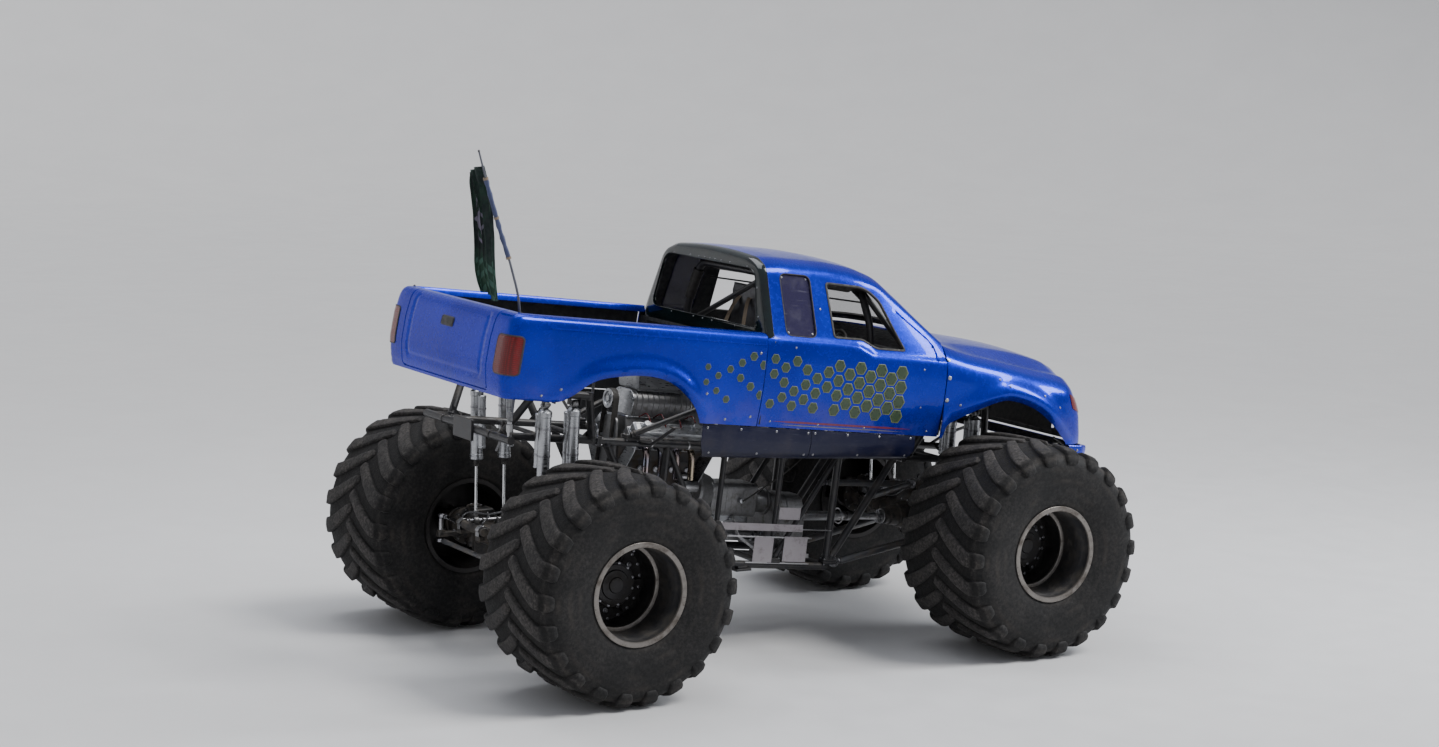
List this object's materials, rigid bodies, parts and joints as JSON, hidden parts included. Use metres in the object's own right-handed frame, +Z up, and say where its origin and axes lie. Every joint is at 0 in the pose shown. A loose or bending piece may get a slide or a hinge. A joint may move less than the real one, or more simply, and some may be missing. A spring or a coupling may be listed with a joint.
{
  "type": "monster truck",
  "caption": "Pickup-bodied monster truck on a tubular chassis, with tall farm-tread tyres, free-turning wheels and steering on both axles.",
  "frame": {"origin": "on the floor, under the centre of the whole box", "axes": "+X to the truck's nose, +Y to its left, +Z up; wheels straight ahead"},
  "size_m": [5.6284, 3.71, 3.9033],
  "materials": {
    "body_paint": "gloss metallic royal blue over fibreglass",
    "skirt_paint": "satin navy",
    "frame_paint": "satin black",
    "axle_paint": "satin black, oily dust",
    "link_paint": "satin grey",
    "clear_panel": "clear polycarbonate",
    "tinted_panel": "smoked polycarbonate",
    "seat_fabric": "matt woven cover",
    "grip_plastic": "matt",
    "engine_iron": "cast, oily",
    "gearbox_alloy": "cast",
    "bare_steel": "brushed",
    "shock_body": "satin anodised",
    "chrome_rod": "polished",
    "pole_grey": "satin",
    "flag_cloth": "woven, matt",
    "tyre_rubber": "worn, dusty",
    "rim_metal": "satin grey, pale machined lip"
  },
  "bodies": {
    "chassis": {"frame_belly": "frame_paint", "frame_side_left": "frame_paint", "frame_side_right": "frame_paint", "front_subframe": "frame_paint", "rear_subframe": "frame_paint", "roll_cage": "frame_paint", "body_bed": "body_paint", "body_cab": "body_paint", "body_front_clip": "body_paint", "front_bumper": "skirt_paint", "rocker_left": "skirt_paint", "rocker_right": "skirt_paint", "windshield": "clear_panel", "quarter_window_left": "tinted_panel", "quarter_window_right": "tinted_panel", "seat": "seat_fabric", "steering_wheel": "grip_plastic", "engine": "engine_iron", "transmission": "gearbox_alloy", "driveshaft_front": "bare_steel", "driveshaft_rear": "bare_steel", "front_axle": "axle_paint", "rear_axle": "axle_paint", "shocks_front_left": "shock_body", "shocks_front_right": "shock_body", "shocks_rear_left": "shock_body", "shocks_rear_right": "shock_body", "lower_link_front_left": "link_paint", "lower_link_front_right": "link_paint", "lower_link_rear_left": "link_paint", "lower_link_rear_right": "link_paint", "upper_link_front": "link_paint", "upper_link_rear": "link_paint", "steering_cylinder_front": "axle_paint", "steering_cylinder_rear": "axle_paint", "flag_pole": "pole_grey", "flag": "flag_cloth"},
    "knuckle_front_left": {"knuckle_front_left": "axle_paint"},
    "wheel_front_left": {"tyre_front_left": "tyre_rubber", "rim_front_left": "rim_metal"},
    "knuckle_front_right": {"knuckle_front_right": "axle_paint"},
    "wheel_front_right": {"tyre_front_right": "tyre_rubber", "rim_front_right": "rim_metal"},
    "knuckle_rear_left": {"knuckle_rear_left": "axle_paint"},
    "wheel_rear_left": {"tyre_rear_left": "tyre_rubber", "rim_rear_left": "rim_metal"},
    "knuckle_rear_right": {"knuckle_rear_right": "axle_paint"},
    "wheel_rear_right": {"tyre_rear_right": "tyre_rubber", "rim_rear_right": "rim_metal"},
    "tie_rod_front": {"tie_rod_front": "link_paint"},
    "steering_rod_front": {"steering_rod_front": "chrome_rod"},
    "tie_rod_rear": {"tie_rod_rear": "link_paint"},
    "steering_rod_rear": {"steering_rod_rear": "chrome_rod"}
  },
  "joints": [
    {"name": "steer_front_left", "type": "hinge", "parent": "chassis", "child": "knuckle_front_left", "pos_m": [1.77, 0.76, 0.838], "axis": [0, 0, 1], "range_deg": [-25, 25]},
    {"name": "wheel_spin_front_left", "type": "hinge", "parent": "knuckle_front_left", "child": "wheel_front_left", "pos_m": [1.77, 1.345, 0.838], "axis": [0, 1, 0], "continuous": true},
    {"name": "steer_front_right", "type": "hinge", "parent": "chassis", "child": "knuckle_front_right", "pos_m": [1.77, -0.76, 0.838], "axis": [0, 0, 1], "range_deg": [-25, 25]},
    {"name": "wheel_spin_front_right", "type": "hinge", "parent": "knuckle_front_right", "child": "wheel_front_right", "pos_m": [1.77, -1.345, 0.838], "axis": [0, 1, 0], "continuous": true},
    {"name": "steer_rear_left", "type": "hinge", "parent": "chassis", "child": "knuckle_rear_left", "pos_m": [-1.95, 0.76, 0.838], "axis": [0, 0, 1], "range_deg": [-25, 25]},
    {"name": "wheel_spin_rear_left", "type": "hinge", "parent": "knuckle_rear_left", "child": "wheel_rear_left", "pos_m": [-1.95, 1.345, 0.838], "axis": [0, 1, 0], "continuous": true},
    {"name": "steer_rear_right", "type": "hinge", "parent": "chassis", "child": "knuckle_rear_right", "pos_m": [-1.95, -0.76, 0.838], "axis": [0, 0, 1], "range_deg": [-25, 25]},
    {"name": "wheel_spin_rear_right", "type": "hinge", "parent": "knuckle_rear_right", "child": "wheel_rear_right", "pos_m": [-1.95, -1.345, 0.838], "axis": [0, 1, 0], "continuous": true},
    {"name": "tie_rod_pivot_front", "type": "hinge", "parent": "knuckle_front_left", "child": "tie_rod_front", "pos_m": [2.07, 0.76, 0.768], "axis": [0, 0, 1], "range_deg": [-25, 25]},
    {"name": "steering_rod_slide_front", "type": "slide", "parent": "chassis", "child": "steering_rod_front", "axis": [0, 1, 0], "range_m": [-0.127, 0.127]},
    {"name": "tie_rod_pivot_rear", "type": "hinge", "parent": "knuckle_rear_left", "child": "tie_rod_rear", "pos_m": [-2.25, 0.76, 0.768], "axis": [0, 0, 1], "range_deg": [-25, 25]},
    {"name": "steering_rod_slide_rear", "type": "slide", "parent": "chassis", "child": "steering_rod_rear", "axis": [0, 1, 0], "range_m": [-0.127, 0.127]}
  ],
  "couplings": [
    {"joint": "steer_front_right", "follows": "steer_front_left", "ratio": 1},
    {"joint": "tie_rod_pivot_front", "follows": "steer_front_left", "ratio": -1},
    {"joint": "steering_rod_slide_front", "follows": "steer_front_left", "m_per_rad": 0.29},
    {"joint": "steer_rear_right", "follows": "steer_rear_left", "ratio": 1},
    {"joint": "tie_rod_pivot_rear", "follows": "steer_rear_left", "ratio": -1},
    {"joint": "steering_rod_slide_rear", "follows": "steer_rear_left", "m_per_rad": -0.29}
  ]
}
